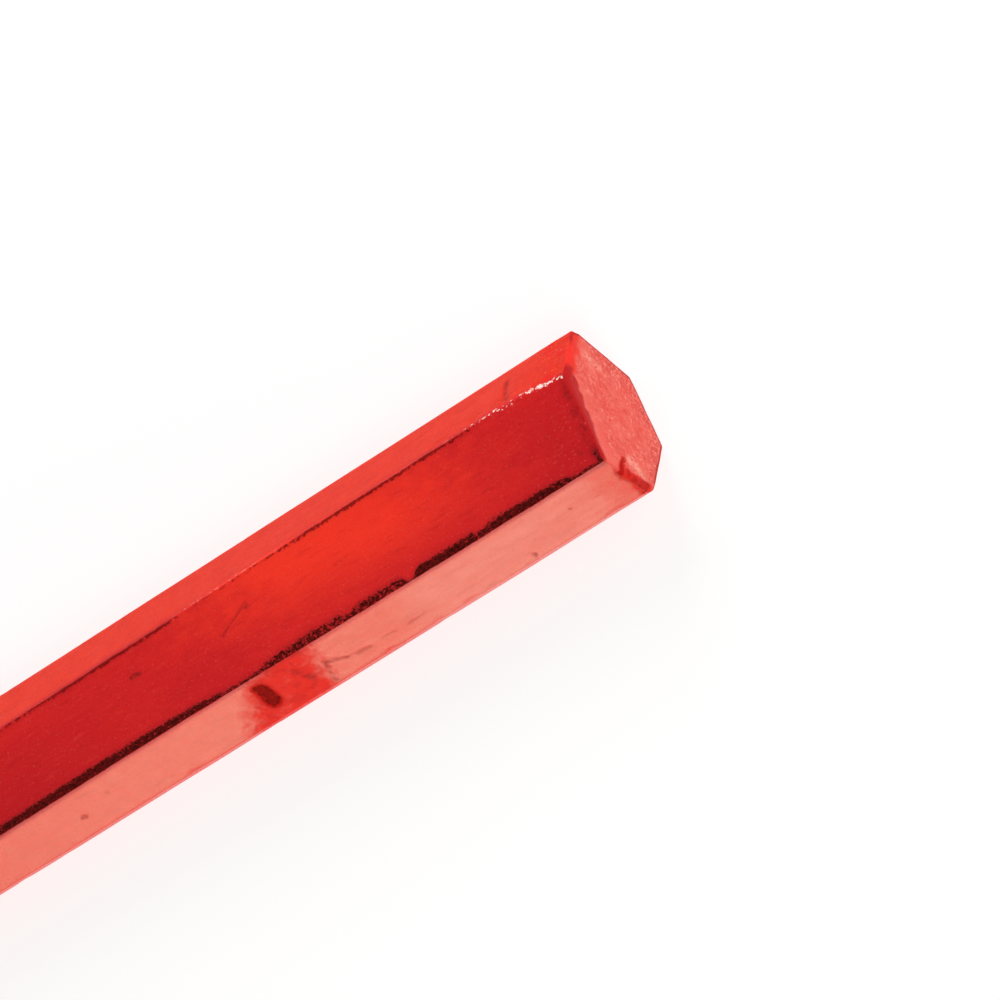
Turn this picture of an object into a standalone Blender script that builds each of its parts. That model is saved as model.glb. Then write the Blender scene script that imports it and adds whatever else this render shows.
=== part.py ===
"""Carpenter pencil, sharpened to a chisel point, lying on one of its wide faces.

Two cedar slats are glued face to face around a flat graphite lead. The wood is
covered by a red lacquer coat, and the square-sawn butt end by a dipped coat.

Metres, +Z up. X runs along the pencil with the butt end at +X, Y across its
width. The origin is at the centre of the resting face's plane: the middle of
the bounding box, on the surface that the pencil lies on.
"""

import math

import bmesh
import bpy

# Overall size
LENGTH = 0.176
WIDTH = 0.0130  # over the two narrow side faces
THICKNESS = 0.0080  # over the two wide faces
WIDE_FACE = 0.0071  # each wide face, between its corners
SIDE_FACE = 0.0010  # each narrow side face, between its corners
CORNER_RADIUS = 0.00060  # the painted long edges

# Layers
LACQUER = 0.00020  # the coats of paint along the body
DIP = 0.00035  # the dipped coat over the sawn end
DIP_EDGE_RADIUS = 0.00028
CLEARANCE = 0.00005  # between neighbouring pieces
GLUE_FILM = 0.00010

# Graphite lead, a flat strip
LEAD_WIDTH = 0.0050
LEAD_THICKNESS = 0.0020
LEAD_CORNER = 0.00025

# Chisel point at the end of the knife cuts, and the scraped corners of its edge
POINT_WIDTH = 0.0032
POINT_THICKNESS = 0.0005
POINT_SCRAPE = 0.00012

# Knife cuts around the point: direction of the cut in the cross-section, in
# degrees from +Y towards +Z, and the length from the point to the paint's edge.
KNIFE_CUTS = (
    (90.0, 0.0250),
    (57.0, 0.0272),
    (24.0, 0.0246),
    (-6.0, 0.0262),
    (-38.0, 0.0248),
    (-66.0, 0.0276),
    (-91.0, 0.0244),
    (-124.0, 0.0268),
    (-156.0, 0.0252),
    (173.0, 0.0270),
    (141.0, 0.0242),
    (114.0, 0.0274),
)

ARC_STEPS = 4
MID_Z = THICKNESS / 2
BUTT_X = LENGTH / 2
POINT_X = -LENGTH / 2
WOOD_INSET = LACQUER + CLEARANCE
BODY_END_X = BUTT_X - DIP - CLEARANCE


def clear_scene():
    for obj in list(bpy.data.objects):
        bpy.data.objects.remove(obj, do_unlink=True)


def sharp_section():
    """The eight corners of the painted cross-section, counter-clockwise seen from +X."""
    y_side, y_flat = WIDTH / 2, WIDE_FACE / 2
    z_side, z_flat = SIDE_FACE / 2, THICKNESS / 2
    quarter = [(y_side, z_side), (y_flat, z_flat)]
    upper = quarter + [(-y, z) for y, z in reversed(quarter)]
    return upper + [(-y, -z) for y, z in upper]


def inset_polygon(corners, distance):
    """Moves every side of a convex polygon inwards by the distance."""
    count = len(corners)
    sides = []
    for i in range(count):
        (y0, z0), (y1, z1) = corners[i], corners[(i + 1) % count]
        length = math.hypot(y1 - y0, z1 - z0)
        ny, nz = (z1 - z0) / length, -(y1 - y0) / length
        sides.append((ny, nz, ny * y0 + nz * z0 - distance))
    moved = []
    for i in range(count):
        a0, b0, c0 = sides[i - 1]
        a1, b1, c1 = sides[i]
        det = a0 * b1 - a1 * b0
        moved.append(((c0 * b1 - c1 * b0) / det, (a0 * c1 - a1 * c0) / det))
    return moved


def rounded(corners, radius, steps=ARC_STEPS):
    """Replaces each corner of a convex polygon by an arc of the radius."""
    count = len(corners)
    points = []
    for i in range(count):
        py, pz = corners[i - 1]
        cy, cz = corners[i]
        ny, nz = corners[(i + 1) % count]
        into = math.atan2(cz - pz, cy - py)
        out = math.atan2(nz - cz, ny - cy)
        turn = (out - into) % (2 * math.pi)
        run = radius * math.tan(turn / 2)
        start_y = cy - run * math.cos(into)
        start_z = cz - run * math.sin(into)
        centre_y = start_y - radius * math.sin(into)
        centre_z = start_z + radius * math.cos(into)
        for k in range(steps + 1):
            angle = into - math.pi / 2 + turn * k / steps
            points.append(
                (
                    centre_y + radius * math.cos(angle),
                    centre_z + radius * math.sin(angle),
                )
            )
    return points


def section(inset, extra_inset=0.0):
    """The rounded cross-section, moved inwards from the painted surface."""
    radius = max(CORNER_RADIUS - inset - extra_inset, 0.00012)
    return rounded(inset_polygon(sharp_section(), inset + extra_inset), radius)


def rectangle(width, height, radius):
    y, z = width / 2, height / 2
    return rounded([(y, z), (-y, z), (-y, -z), (y, -z)], radius)


def add_loop(bm, points, x):
    return [bm.verts.new((x, y, MID_Z + z)) for y, z in points]


def join_loops(bm, first, second):
    """Side faces between two loops of the same length."""
    count = len(first)
    for i in range(count):
        j = (i + 1) % count
        bm.faces.new((first[i], first[j], second[j], second[i]))


def finish(bm, name):
    bmesh.ops.recalc_face_normals(bm, faces=bm.faces[:])
    mesh = bpy.data.meshes.new(name)
    bm.to_mesh(mesh)
    bm.free()
    obj = bpy.data.objects.new(name, mesh)
    bpy.context.scene.collection.objects.link(obj)
    mesh.shade_smooth()
    mesh.set_sharp_from_angle(angle=math.radians(30))
    return obj


def prism(points, x0, x1):
    """A solid bar of the cross-section."""
    bm = bmesh.new()
    start, end = add_loop(bm, points, x0), add_loop(bm, points, x1)
    bm.faces.new(start)
    bm.faces.new(end)
    join_loops(bm, start, end)
    return bm


def box(x, y, z, name):
    """A plain block between the limits given for each axis."""
    bm = bmesh.new()
    bmesh.ops.create_cube(bm, size=1.0)
    for vert in bm.verts:
        vert.co = (
            x[vert.co.x > 0],
            y[vert.co.y > 0],
            z[vert.co.z > 0],
        )
    return finish(bm, name)


def as_cutter(obj):
    obj.hide_render = True
    obj.display_type = "WIRE"
    return obj


def add_boolean(obj, cutter, operation):
    modifier = obj.modifiers.new(cutter.name, "BOOLEAN")
    modifier.operation = operation
    modifier.solver = "EXACT"
    modifier.object = cutter


def reach(corners, angle):
    """How far a convex section reaches in a direction across the pencil."""
    return max(y * math.cos(angle) + z * math.sin(angle) for y, z in corners)


def trim(bm, point, normal):
    """Cuts off what lies beyond a plane and closes the cut."""
    cut = bmesh.ops.bisect_plane(
        bm,
        geom=bm.verts[:] + bm.edges[:] + bm.faces[:],
        dist=1e-8,
        plane_co=point,
        plane_no=normal,
        clear_outer=True,
    )["geom_cut"]
    edges = [part for part in cut if isinstance(part, bmesh.types.BMEdge)]
    if edges:
        bmesh.ops.contextual_create(bm, geom=edges)


def knife_envelope(name, point_scrape):
    """The convex shape that the knife leaves: the body is kept inside it."""
    bm = bmesh.new()
    bmesh.ops.create_cube(bm, size=1.0)
    for vert in bm.verts:
        vert.co = (
            BUTT_X + 0.010 if vert.co.x > 0 else POINT_X,
            math.copysign(WIDTH, vert.co.y),
            MID_Z + math.copysign(WIDTH, vert.co.z),
        )
    outside = sharp_section()
    for degrees, cut_length in KNIFE_CUTS:
        angle = math.radians(degrees)
        across = (math.cos(angle), math.sin(angle))
        at_point = math.hypot(POINT_WIDTH / 2 * across[0], POINT_THICKNESS / 2 * across[1])
        slope = (reach(outside, angle) - at_point) / cut_length
        trim(
            bm,
            (POINT_X, at_point * across[0], MID_Z + at_point * across[1]),
            (-slope, across[0], across[1]),
        )
    if point_scrape:
        for side in (-1, 1):
            edge_z = MID_Z + side * (POINT_THICKNESS / 2 - point_scrape)
            trim(bm, (POINT_X, 0.0, edge_z), (-1.0, 0.0, side))
    return as_cutter(finish(bm, name))


def make_slat(name, side, channel, envelope):
    """One half of the wood casing, with its half of the lead's channel."""
    bm = prism(section(WOOD_INSET), POINT_X - 0.001, BODY_END_X)
    split = GLUE_FILM / 2 + CLEARANCE
    trim(bm, (0.0, 0.0, MID_Z + side * split), (0.0, 0.0, -side))
    slat = finish(bm, name)
    add_boolean(slat, channel, "DIFFERENCE")
    add_boolean(slat, envelope, "INTERSECT")
    return slat


def make_lead(name, envelope):
    bm = prism(
        rectangle(LEAD_WIDTH, LEAD_THICKNESS, LEAD_CORNER),
        POINT_X - 0.001,
        BODY_END_X,
    )
    lead = finish(bm, name)
    add_boolean(lead, envelope, "INTERSECT")
    return lead


def make_glue(name, side, envelope):
    """The film of glue between the slats, on one side of the lead."""
    inner = side * (LEAD_WIDTH / 2 + CLEARANCE)
    outer = side * (WIDTH / 2 - WOOD_INSET)
    film = box(
        (POINT_X - 0.001, BODY_END_X),
        tuple(sorted((inner, outer))),
        (MID_Z - GLUE_FILM / 2, MID_Z + GLUE_FILM / 2),
        name,
    )
    add_boolean(film, envelope, "INTERSECT")
    return film


def make_lacquer(name, envelope):
    """The painted skin along the body, a tube cut back by the knife."""
    bm = bmesh.new()
    ends = []
    for x in (POINT_X - 0.001, BODY_END_X):
        outer = add_loop(bm, section(0.0), x)
        inner = add_loop(bm, section(LACQUER), x)
        join_loops(bm, outer, inner)
        ends.append((outer, inner))
    join_loops(bm, ends[0][0], ends[1][0])
    join_loops(bm, ends[0][1], ends[1][1])
    coat = finish(bm, name)
    add_boolean(coat, envelope, "INTERSECT")
    return coat


def make_dip(name):
    """The coat over the sawn end, level with the lacquer, with a rounded rim."""
    bm = bmesh.new()
    loops = [add_loop(bm, section(0.0), BUTT_X - DIP)]
    for k in range(ARC_STEPS + 1):
        angle = math.pi / 2 * k / ARC_STEPS
        x = BUTT_X - DIP_EDGE_RADIUS * (1 - math.sin(angle))
        loops.append(
            add_loop(bm, section(0.0, DIP_EDGE_RADIUS * (1 - math.cos(angle))), x)
        )
    for first, second in zip(loops, loops[1:]):
        join_loops(bm, first, second)
    bm.faces.new(loops[0])
    bm.faces.new(loops[-1])
    return finish(bm, name)


def give_material(obj, name, colour, roughness, coat=0.0):
    material = bpy.data.materials.new(name)
    material.use_nodes = True
    shader = material.node_tree.nodes["Principled BSDF"]
    shader.inputs["Base Color"].default_value = (*colour, 1.0)
    shader.inputs["Roughness"].default_value = roughness
    shader.inputs["Metallic"].default_value = 0.0
    shader.inputs["Coat Weight"].default_value = coat
    material.diffuse_color = (*colour, 1.0)
    obj.data.materials.append(material)


def main():
    clear_scene()
    wood_envelope = knife_envelope("knife_envelope_cutter", 0.0)
    lead_envelope = knife_envelope("lead_point_cutter", POINT_SCRAPE)
    half_y = LEAD_WIDTH / 2 + CLEARANCE
    half_z = LEAD_THICKNESS / 2 + CLEARANCE
    channel = as_cutter(
        box(
            (POINT_X - 0.005, BUTT_X + 0.005),
            (-half_y, half_y),
            (MID_Z - half_z, MID_Z + half_z),
            "lead_channel_cutter",
        )
    )

    upper = make_slat("wood_slat_upper", 1, channel, wood_envelope)
    lower = make_slat("wood_slat_lower", -1, channel, wood_envelope)
    lead = make_lead("graphite_lead", lead_envelope)
    glue_left = make_glue("glue_film_left", 1, wood_envelope)
    glue_right = make_glue("glue_film_right", -1, wood_envelope)
    lacquer = make_lacquer("lacquer_coat_body", wood_envelope)
    dip = make_dip("dipped_coat_butt_end")

    give_material(upper, "cedar_upper", (0.56, 0.31, 0.16), 0.62)
    give_material(lower, "cedar_lower", (0.53, 0.29, 0.15), 0.62)
    give_material(lead, "graphite", (0.045, 0.045, 0.050), 0.38)
    give_material(glue_left, "glue_left", (0.60, 0.48, 0.30), 0.45)
    give_material(glue_right, "glue_right", (0.60, 0.48, 0.30), 0.45)
    give_material(lacquer, "red_lacquer", (0.60, 0.022, 0.018), 0.22, 0.6)
    give_material(dip, "red_dip_coat", (0.66, 0.050, 0.030), 0.45, 0.2)

    root = bpy.data.objects.new("carpenter_pencil", None)
    bpy.context.scene.collection.objects.link(root)
    for obj in (upper, lower, lead, glue_left, glue_right, lacquer, dip):
        obj.parent = root


main()
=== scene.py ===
"""Looks of the carpenter pencil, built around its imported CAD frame."""

import math

import bpy
import numpy as np
from mathutils import Matrix, Vector


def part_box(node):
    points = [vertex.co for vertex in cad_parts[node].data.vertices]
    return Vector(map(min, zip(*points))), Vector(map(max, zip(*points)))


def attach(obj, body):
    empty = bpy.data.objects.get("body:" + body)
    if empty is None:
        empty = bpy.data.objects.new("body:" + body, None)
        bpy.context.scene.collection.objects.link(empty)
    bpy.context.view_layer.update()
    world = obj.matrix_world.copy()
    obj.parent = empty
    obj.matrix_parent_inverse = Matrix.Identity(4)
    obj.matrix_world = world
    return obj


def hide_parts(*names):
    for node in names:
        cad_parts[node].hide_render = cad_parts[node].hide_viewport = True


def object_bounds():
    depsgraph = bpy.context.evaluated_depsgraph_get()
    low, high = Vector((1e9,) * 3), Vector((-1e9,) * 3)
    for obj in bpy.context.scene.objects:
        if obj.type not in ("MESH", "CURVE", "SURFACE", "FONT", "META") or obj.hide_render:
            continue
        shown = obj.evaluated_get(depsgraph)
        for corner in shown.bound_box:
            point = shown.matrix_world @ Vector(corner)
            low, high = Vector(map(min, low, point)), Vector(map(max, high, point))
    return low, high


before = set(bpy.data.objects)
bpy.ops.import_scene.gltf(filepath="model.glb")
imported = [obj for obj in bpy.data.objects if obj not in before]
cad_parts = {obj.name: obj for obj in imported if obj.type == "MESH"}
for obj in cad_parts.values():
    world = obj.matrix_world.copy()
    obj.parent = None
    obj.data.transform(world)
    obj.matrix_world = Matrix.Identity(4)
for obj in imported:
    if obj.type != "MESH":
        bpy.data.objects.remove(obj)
CAD_LO, CAD_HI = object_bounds()

# ---------------------------------------------------------------- sizes, in mm
lac_lo, lac_hi = (np.array(v) * 1000 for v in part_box("lacquer_coat_body"))
dip_lo, dip_hi = (np.array(v) * 1000 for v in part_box("dipped_coat_butt_end"))
lead_lo, lead_hi = (np.array(v) * 1000 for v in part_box("graphite_lead"))

HALF_W = round((lac_hi[1] - lac_lo[1]) / 2, 1)  # of the sharp section, before its corners are rounded
HALF_H = (lac_hi[2] - lac_lo[2]) / 2
MID_Z = (lac_hi[2] + lac_lo[2]) / 2
BUTT_X = dip_hi[0]
POINT_X = lead_lo[0]
BODY_END_X = dip_lo[0] - 0.05
LEAD_HALF_W = (lead_hi[1] - lead_lo[1]) / 2
LEAD_HALF_H = (lead_hi[2] - lead_lo[2]) / 2
WIDE_HALF = 3.55  # half of a wide face
SIDE_HALF = 0.50  # half of a narrow side face
PAINT = 0.20
DIP_LENGTH = 0.80  # how far the dipped coat wraps round the rim
WOOD_INSET = 0.25
PAINT_BACK_X = POINT_X + 29.0  # all the knife cuts are in front of this

POINT_HALF_W, POINT_HALF_T = 1.60, 0.25
# marks on the end face, from its centre: (across, up); a torn notch, and a spot under a painted highlight
END_NOTCH = ((-3.80, 1.50), (-4.10, 1.95), (-4.50, 2.30), (-5.05, 2.60))
END_HIGHLIGHT_SPOT = ((-4.15, 0.85), (-5.20, 0.25))
KNIFE_CUTS = (
    (90.0, 25.0),
    (57.0, 27.2),
    (24.0, 24.6),
    (-6.0, 26.2),
    (-38.0, 24.8),
    (-66.0, 27.6),
    (-91.0, 24.4),
    (-124.0, 26.8),
    (-156.0, 25.2),
    (173.0, 27.0),
    (141.0, 24.2),
    (114.0, 27.4),
)


# ---------------------------------------------------------------- helpers
def smooth(a, b, x):
    t = np.clip((np.asarray(x, float) - a) / (b - a), 0.0, 1.0)
    return t * t * (3 - 2 * t)


def noise2(u, v, seed):
    """Smooth value noise, from -1 to 1, one feature per unit."""
    table = np.random.RandomState(seed).uniform(-1, 1, (97, 89))
    u, v = np.broadcast_arrays(np.asarray(u, float), np.asarray(v, float))
    iu, iv = np.floor(u).astype(int), np.floor(v).astype(int)
    fu, fv = u - iu, v - iv
    fu = fu * fu * fu * (fu * (fu * 6 - 15) + 10)
    fv = fv * fv * fv * (fv * (fv * 6 - 15) + 10)
    a = table[iu % 97, iv % 89]
    b = table[(iu + 1) % 97, iv % 89]
    c = table[iu % 97, (iv + 1) % 89]
    d = table[(iu + 1) % 97, (iv + 1) % 89]
    return (a * (1 - fu) + b * fu) * (1 - fv) + (c * (1 - fu) + d * fu) * fv


def fbm(u, v, seed, octaves=4, gain=0.5):
    total, size, norm = 0.0, 1.0, 0.0
    for k in range(octaves):
        total = total + size * noise2(u * 2**k + 7.3 * k, v * 2**k + 3.1 * k, seed + k)
        norm += size
        size *= gain
    return total / norm


def profile(knots, x, blur=0.8):
    """A smooth curve through (x, value) knots, read at x."""
    grid = np.arange(-100.0, 100.0, 0.1)
    values = np.interp(grid, [k[0] for k in knots], [k[1] for k in knots])
    reach = int(4 * blur / 0.1)
    kernel = np.exp(-0.5 * (np.arange(-reach, reach + 1) * 0.1 / blur) ** 2)
    kernel /= kernel.sum()
    padded = np.concatenate(
        [np.full(reach, values[0]), values, np.full(reach, values[-1])]
    )
    return np.interp(x, grid, np.convolve(padded, kernel, "valid"))


def line_distance(y, z, points):
    """Distance in a plane from (y, z) to a chain of segments."""
    best = np.full(np.shape(y), 1e9)
    for (ay, az), (by, bz) in zip(points[:-1], points[1:]):
        dy, dz = by - ay, bz - az
        t = np.clip(((y - ay) * dy + (z - az) * dz) / (dy * dy + dz * dz), 0, 1)
        best = np.minimum(best, np.hypot(y - ay - t * dy, z - az - t * dz))
    return best


def grid_mesh(name, rings, closed_ring=True, cap_start=None, cap_end=None):
    """A mesh through a (rings, samples, 3) array in mm. Rings close on themselves, and the caps are flat fans."""
    n, m = rings.shape[:2]
    verts = rings.reshape(-1, 3)
    i, j = np.meshgrid(np.arange(n - 1), np.arange(m if closed_ring else m - 1), indexing="ij")
    j2 = (j + 1) % m
    quads = np.stack([i * m + j, i * m + j2, (i + 1) * m + j2, (i + 1) * m + j], -1).reshape(-1, 4)
    extra = []
    tris = []
    count = n * m
    for which, row in ((cap_start, 0), (cap_end, n - 1)):
        if which == "fan":
            extra.append(rings[row].mean(0))
            k = np.arange(m)
            a, b = row * m + k, row * m + (k + 1) % m
            c = np.full(m, count)
            tris.append(np.stack([b, a, c] if row == 0 else [a, b, c], -1))
            count += 1
    if extra:
        verts = np.concatenate([verts, np.array(extra)])
    return verts, quads, (np.concatenate(tris) if tris else np.zeros((0, 3), int))


def build(name, verts, quads, tris, attributes=None, flip=False, sharp=None):
    if flip:
        quads, tris = quads[:, ::-1], tris[:, ::-1]
    mesh = bpy.data.meshes.new(name)
    loops = np.concatenate([quads.reshape(-1), tris.reshape(-1)]).astype(np.int32)
    totals = np.concatenate([np.full(len(quads), 4), np.full(len(tris), 3)]).astype(np.int32)
    starts = np.concatenate([[0], np.cumsum(totals)[:-1]]).astype(np.int32)
    mesh.vertices.add(len(verts))
    mesh.vertices.foreach_set("co", (verts * 0.001).astype(np.float32).reshape(-1))
    mesh.loops.add(len(loops))
    mesh.loops.foreach_set("vertex_index", loops)
    mesh.polygons.add(len(totals))
    mesh.polygons.foreach_set("loop_start", starts)
    mesh.update(calc_edges=True)
    mesh.validate()
    for key, values in (attributes or {}).items():
        layer = mesh.attributes.new(key, "FLOAT", "POINT")
        full = np.zeros(len(mesh.vertices), np.float32)
        full[: len(values)] = values
        layer.data.foreach_set("value", full)
    mesh.shade_smooth()
    if sharp:
        mesh.set_sharp_from_angle(angle=math.radians(sharp))
    obj = bpy.data.objects.new(name, mesh)
    bpy.context.scene.collection.objects.link(obj)
    return obj


# ---------------------------------------------------------------- cross-section
def far_line(x):
    """The far upper edge: its distance from the centre line, worn towards the butt end."""
    knots = ((-60, 3.52), (27, 3.45), (45, 3.48), (60, 3.61), (76, 3.61), (80, 3.62), (83.5, 3.56), (85, 3.45), (86.8, 3.26), (88, 3.08))
    return profile(knots, x, 0.9) + 0.035 * fbm(np.asarray(x, float) / 14.0, 18.7, 11, 3) + 0.02 * noise2(np.asarray(x, float) / 1.3, 0.4, 12)


def near_line(x):
    """The near upper edge, the same way."""
    knots = ((-60, 3.55), (27, 3.48), (40, 3.46), (47, 3.46), (52, 3.50), (60, 3.58), (70, 3.64), (80, 3.68), (88, 3.68))
    return profile(knots, x, 2.0) + 0.02 * fbm(np.asarray(x, float) / 14.0, 22.1, 13, 3) + 0.012 * noise2(np.asarray(x, float) / 1.1, 0.9, 14)


def corner_paths(x):
    """The eight corners of the painted section at each x, counter-clockwise seen from the butt end: (len(x), 8, 2)."""
    x = np.asarray(x, float)
    butt = smooth(BUTT_X - 13, BUTT_X - 0.5, x)
    w, t = HALF_W, HALF_H
    drop = 0.06 * smooth(BUTT_X - 5, BUTT_X, x)
    path = [
        (w + 0 * x, SIDE_HALF + 0.06 * butt),
        (far_line(x), t - drop),
        (-near_line(x), t + 0 * x),
        (-w + 0 * x, SIDE_HALF - 0.15 * butt),
        (-w + 0.02 * butt, -SIDE_HALF + 0.05 * butt),
        (-WIDE_HALF + 0.24 * butt, -t + 0 * x),
        (WIDE_HALF - 1.20 * butt, -t + 0 * x),
        (w - 0.36 * butt, -SIDE_HALF + 0.36 * butt),
    ]
    return np.stack([np.stack(np.broadcast_arrays(a, b), -1) for a, b in path], 1)


def radii_at(x):
    x = np.asarray(x, float)
    far = profile(((-60, 0.50), (50, 0.42), (78, 0.38), (83, 0.45), (88, 0.60)), x, 1.5)
    near = profile(((-60, 0.42), (50, 0.30), (88, 0.30)), x, 2.0)
    side = profile(((-60, 0.40), (20, 0.28), (88, 0.20)), x)
    bottom = profile(((-60, 0.55), (78, 0.50), (88, 0.26)), x, 2.0)
    r = [side, far, near, side, side, bottom, bottom, side]
    return np.stack([v + 0.05 * noise2(x / 3.0, i * 1.3, 31 + i) for i, v in enumerate(r)], 1)


EDGE_SAMPLES = (26, 44, 26, 3, 18, 24, 18, 3)
ARC = 6


def sections(x, inset=0.0):
    """(len(x), samples, 2) points of the rounded section, and which face each sample is on."""
    c = corner_paths(x)
    r = np.maximum(radii_at(x) - inset, 0.12)
    if inset:
        e = np.roll(c, -1, 1) - c
        n = np.stack([e[..., 1], -e[..., 0]], -1) / np.linalg.norm(e, axis=-1, keepdims=True)
        d = (n * c).sum(-1) - inset
        n0, d0 = np.roll(n, 1, 1), np.roll(d, 1, 1)
        det = n0[..., 0] * n[..., 1] - n[..., 0] * n0[..., 1]
        c = np.stack([(d0 * n[..., 1] - d * n0[..., 1]) / det, (n0[..., 0] * d - n[..., 0] * d0) / det], -1)
    prev, nxt = np.roll(c, 1, 1), np.roll(c, -1, 1)
    into = np.arctan2(c[..., 1] - prev[..., 1], c[..., 0] - prev[..., 0])
    out = np.arctan2(nxt[..., 1] - c[..., 1], nxt[..., 0] - c[..., 0])
    turn = (out - into) % (2 * np.pi)
    run = r * np.tan(turn / 2)
    run = np.minimum(run, 0.46)
    r = run / np.tan(turn / 2)
    cy = c[..., 0] - run * np.cos(into) - r * np.sin(into)
    cz = c[..., 1] - run * np.sin(into) + r * np.cos(into)
    points, face = [], []
    for k in range(8):
        for a in range(ARC + 1):
            ang = into[:, k] - np.pi / 2 + turn[:, k] * a / ARC
            points.append(np.stack([cy[:, k] + r[:, k] * np.cos(ang), cz[:, k] + r[:, k] * np.sin(ang)], -1))
            face.append(-1 - k)
        start = points[-1]
        k2 = (k + 1) % 8
        ang = into[:, k2] - np.pi / 2
        end = np.stack([cy[:, k2] + r[:, k2] * np.cos(ang), cz[:, k2] + r[:, k2] * np.sin(ang)], -1)
        count = EDGE_SAMPLES[k]
        for a in range(1, count):
            f = a / count
            points.append(start * (1 - f) + end * f)
            face.append(k)
    return np.stack(points, 1), np.array(face)


def knife_reach():
    """Each cut as its direction, its distance from the axis at the point, and its slope."""
    sharp = [(HALF_W, SIDE_HALF), (WIDE_HALF, HALF_H), (-WIDE_HALF, HALF_H), (-HALF_W, SIDE_HALF)]
    sharp += [(-y, -z) for y, z in sharp]
    cuts = []
    for degrees, length in KNIFE_CUTS:
        a = math.radians(degrees)
        reach = max(y * math.cos(a) + z * math.sin(a) for y, z in sharp)
        d0 = math.hypot(POINT_HALF_W * math.cos(a), POINT_HALF_T * math.sin(a))
        cuts.append((a, d0, (reach - d0) / length))
    return cuts


CUTS = knife_reach()


def cut_start(r, phi):
    """The x at which the knife cuts leave a line that runs along the pencil at radius r and angle phi."""
    best = np.full(np.shape(phi), -1e9)
    for a, d0, slope in CUTS:
        best = np.maximum(best, POINT_X + (r * np.cos(phi - a) - d0) / slope)
    return best


def cut_radius(phi, x, soft=0.05):
    """The radius that the knife leaves at angle phi and x, with slightly rounded ridges."""
    total = 0.0
    for a, d0, slope in CUTS:
        c = np.cos(phi - a)
        reach = (d0 + (x - POINT_X) * slope) / np.where(c > 0.05, c, 0.05)
        reach = np.where(c > 0.05, reach, 1e3)
        total = total + np.exp(-np.minimum(reach, 60.0) / soft)
    return -soft * np.log(total + 1e-300)


# ---------------------------------------------------------------- lacquered body
def line_width(x):
    """Width of the dark line beside the near upper edge."""
    knots = (
        (-62, 0.30), (-45, 0.55), (-30, 0.22), (-12, 0.50), (4, 0.35), (14, 0.55), (28, 0.61), (32, 0.66), (38, 0.66),
        (44, 0.60), (47, 0.48), (49.5, 0.30), (51, 0.15), (53, 0.20), (54.3, 0.46), (56, 0.62), (60, 0.66), (61.8, 0.60),
        (62.3, 0.34), (62.9, 0.36), (63.5, 0.62), (66, 0.58), (68.0, 0.60), (68.35, 0.04), (69.15, 0.04), (69.5, 0.62),
        (75.0, 0.66), (75.6, 0.44), (76.3, 0.44), (77.2, 0.66), (82, 0.60), (84.3, 0.46), (84.9, 0.20), (87, 0.15), (88, 0.15),
    )
    return profile(knots, x, 0.16)


def gouge_depth(x, v):
    """How far inside the gouge of the near chamfer a point is, in mm; negative outside."""
    across = x - 51.88 - 0.10 * np.sin((v - 0.5) * 1.3) + 0.04 * (v - 2.0)
    beyond = np.maximum(0, np.maximum(1.36 - v, v - 2.80))
    half = 0.60 + 0.035 * (v - 1.0) + 0.07 * noise2(v / 0.45, x / 0.9, 181)
    return half - np.hypot(across, beyond)


def displace_body(x, y, z, s, face):
    """How far the lacquer stands out from the plain section, in mm."""
    d = 0.022 * fbm(x / 9.0, s / 3.2, 101, 3) + 0.006 * fbm(x / 1.7, s / 1.1, 111, 3)
    d = d + 0.0025 * noise2(x / 6.0, s / 0.22, 121)
    top = (face == 1) | (face == -2) | (face == -3)
    near_edge = -near_line(x)
    width = line_width(x)
    inside = smooth(-0.08, 0.14, width - 0.06 - (y - near_edge)) * smooth(-0.10, 0.12, y - near_edge) * smooth(0.10, 0.35, width)
    d = d - (0.050 + 0.03 * noise2(x / 0.45, y / 0.3, 122)) * inside * top
    lower = (face == 2) | (face == -3) | (face == -4)
    v = np.hypot(y + 3.55, z - HALF_H)
    # a gouge across the near chamfer, with a raised lip
    inside_gouge = gouge_depth(x, v)
    gouge = smooth(-0.10, 0.24, inside_gouge) * (1.0 + 0.25 * noise2(x / 0.4, v / 0.4, 182))
    lip = np.exp(-(((inside_gouge + 0.30) / 0.20) ** 2))
    d = d + lower * (-0.120 * gouge + 0.010 * lip)
    d = d - lower * 0.07 * np.exp(-(((x - 55.8) / 0.35) ** 2) - (((v - 2.6) / 0.30) ** 2))
    d = d - lower * 0.05 * np.exp(-(((x - 57.6) / 0.25) ** 2) - (((v - 2.3) / 0.25) ** 2))
    d = d - lower * 0.03 * np.exp(-(((x - 31.8) / 0.25) ** 2) - (((v - 2.7) / 0.25) ** 2))
    d = d + lower * 0.05 * fbm(x / 1.3, v / 1.0, 131, 2) * np.exp(-(((x - 55.0) / 3.0) ** 2))
    # nicks along the far upper edge, more of them towards the butt end
    far = (face == -2) | (((face == 1) | (face == 0)) & (np.abs(y - 3.6) < 0.5) & (z > HALF_H - 0.7))
    nicks = np.maximum(0, noise2(x / 0.55, 2.0, 141) - 0.25) * (0.35 + 0.65 * smooth(60, 84, x))
    d = d - far * 0.055 * nicks
    # a nick across the far chamfer near the butt end
    upper = (face == 0) | (face == -1)
    vu = np.hypot(y - 3.55, z - HALF_H)
    d = d - upper * 0.07 * np.exp(-(((x - 82.0) / 0.22) ** 2)) * smooth(0.5, 0.9, vu) * (1 - smooth(2.4, 3.0, vu))
    d = d + upper * 0.04 * fbm(x / 0.8, vu / 0.8, 151, 2) * smooth(84.0, 86.5, x)
    # small chips on the other long edges
    for corner, seed in ((-1, 161), (-4, 162), (-5, 163), (-6, 164), (-7, 165), (-8, 166)):
        chip = np.maximum(0, noise2(x / 1.6, seed * 0.37, seed) - 0.62)
        d = d - (face == corner) * 0.16 * chip
    return d


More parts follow.
